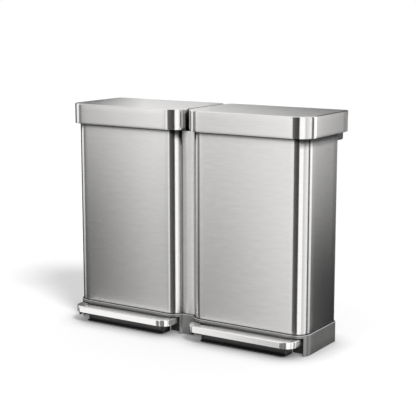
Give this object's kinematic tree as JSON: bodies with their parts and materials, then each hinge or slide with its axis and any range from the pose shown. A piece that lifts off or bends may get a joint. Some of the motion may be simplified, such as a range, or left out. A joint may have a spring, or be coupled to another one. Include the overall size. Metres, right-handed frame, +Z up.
{
  "type": "double pedal recycling bin",
  "caption": "Side-by-side double pedal bin with lidded brushed steel compartments on a shared plastic base, each lid raised by its own wide foot pedal.",
  "frame": {"origin": "on the floor, under the centre of the whole object's outline", "axes": "+X to the right seen from the front, across both bins; +Y to the back; +Z up"},
  "size_m": [0.797, 0.282, 0.655],
  "materials": {
    "brushed_steel": "satin steel sheet with a fine level grain",
    "pedal_steel": "bright steel, lightly brushed lengthways",
    "zinc_steel": "plain zinc-plated steel",
    "black_steel": "steel coated satin black",
    "base_plastic": "satin mid-grey moulding",
    "black_plastic": "satin black moulding",
    "bucket_plastic": "matt dark grey moulding",
    "rubber": "matt black rubber"
  },
  "bodies": {
    "frame": {"base_housing": "base_plastic", "front_bridge_panel": "brushed_steel", "rear_bridge_panel": "brushed_steel", "left_body_shell": "brushed_steel", "left_rim_collar": "black_plastic", "left_bucket": "bucket_plastic", "left_hinge_housing": "base_plastic", "left_hinge_axle": "zinc_steel", "left_housing_screw_1": "zinc_steel", "left_housing_screw_2": "zinc_steel", "left_kick_plate": "black_plastic", "left_pedal_axle": "zinc_steel", "left_rod_guide": "black_plastic", "left_damper_cylinder": "black_plastic", "left_front_foot": "rubber", "left_rear_foot_1": "rubber", "left_rear_foot_2": "rubber", "right_body_shell": "brushed_steel", "right_rim_collar": "black_plastic", "right_bucket": "bucket_plastic", "right_hinge_housing": "base_plastic", "right_hinge_axle": "zinc_steel", "right_housing_screw_1": "zinc_steel", "right_housing_screw_2": "zinc_steel", "right_kick_plate": "black_plastic", "right_pedal_axle": "zinc_steel", "right_rod_guide": "black_plastic", "right_damper_cylinder": "black_plastic", "right_front_foot": "rubber", "right_rear_foot_1": "rubber", "right_rear_foot_2": "rubber"},
    "left_lid": {"left_lid_shell": "brushed_steel", "left_lid_liner": "black_plastic", "left_hinge_arm_1": "zinc_steel", "left_hinge_arm_2": "zinc_steel", "left_lid_crank": "zinc_steel", "left_crank_pin": "zinc_steel", "left_lid_bumper_1": "rubber", "left_lid_bumper_2": "rubber"},
    "left_pedal": {"left_pedal_cover": "pedal_steel", "left_pedal_lever": "black_steel"},
    "left_rod": {"left_push_rod": "zinc_steel", "left_rod_clevis": "zinc_steel", "left_damper_rod": "zinc_steel"},
    "right_lid": {"right_lid_shell": "brushed_steel", "right_lid_liner": "black_plastic", "right_hinge_arm_1": "zinc_steel", "right_hinge_arm_2": "zinc_steel", "right_lid_crank": "zinc_steel", "right_crank_pin": "zinc_steel", "right_lid_bumper_1": "rubber", "right_lid_bumper_2": "rubber"},
    "right_pedal": {"right_pedal_cover": "pedal_steel", "right_pedal_lever": "black_steel"},
    "right_rod": {"right_push_rod": "zinc_steel", "right_rod_clevis": "zinc_steel", "right_damper_rod": "zinc_steel"}
  },
  "joints": [
    {"name": "left_lid_hinge", "type": "hinge", "parent": "frame", "child": "left_lid", "pos_m": [-0.202, 0.113, 0.6], "axis": [-1, 0, 0], "range_deg": [0, 80]},
    {"name": "left_pedal_pivot", "type": "hinge", "parent": "frame", "child": "left_pedal", "pos_m": [-0.202, -0.048, 0.03], "axis": [1, 0, 0], "range_deg": [0, 13.3]},
    {"name": "left_rod_slide", "type": "slide", "parent": "frame", "child": "left_rod", "axis": [0, 0, 1], "range_m": [0, 0.0329]},
    {"name": "right_lid_hinge", "type": "hinge", "parent": "frame", "child": "right_lid", "pos_m": [0.202, 0.113, 0.6], "axis": [-1, 0, 0], "range_deg": [0, 80]},
    {"name": "right_pedal_pivot", "type": "hinge", "parent": "frame", "child": "right_pedal", "pos_m": [0.202, -0.048, 0.03], "axis": [1, 0, 0], "range_deg": [0, 13.3]},
    {"name": "right_rod_slide", "type": "slide", "parent": "frame", "child": "right_rod", "axis": [0, 0, 1], "range_m": [0, 0.0329]}
  ],
  "couplings": [
    {"joint": "left_pedal_pivot", "follows": "left_lid_hinge", "ratio": 0.165},
    {"joint": "left_rod_slide", "follows": "left_lid_hinge", "m_per_rad": 0.02343},
    {"joint": "right_pedal_pivot", "follows": "right_lid_hinge", "ratio": 0.165},
    {"joint": "right_rod_slide", "follows": "right_lid_hinge", "m_per_rad": 0.02343}
  ]
}
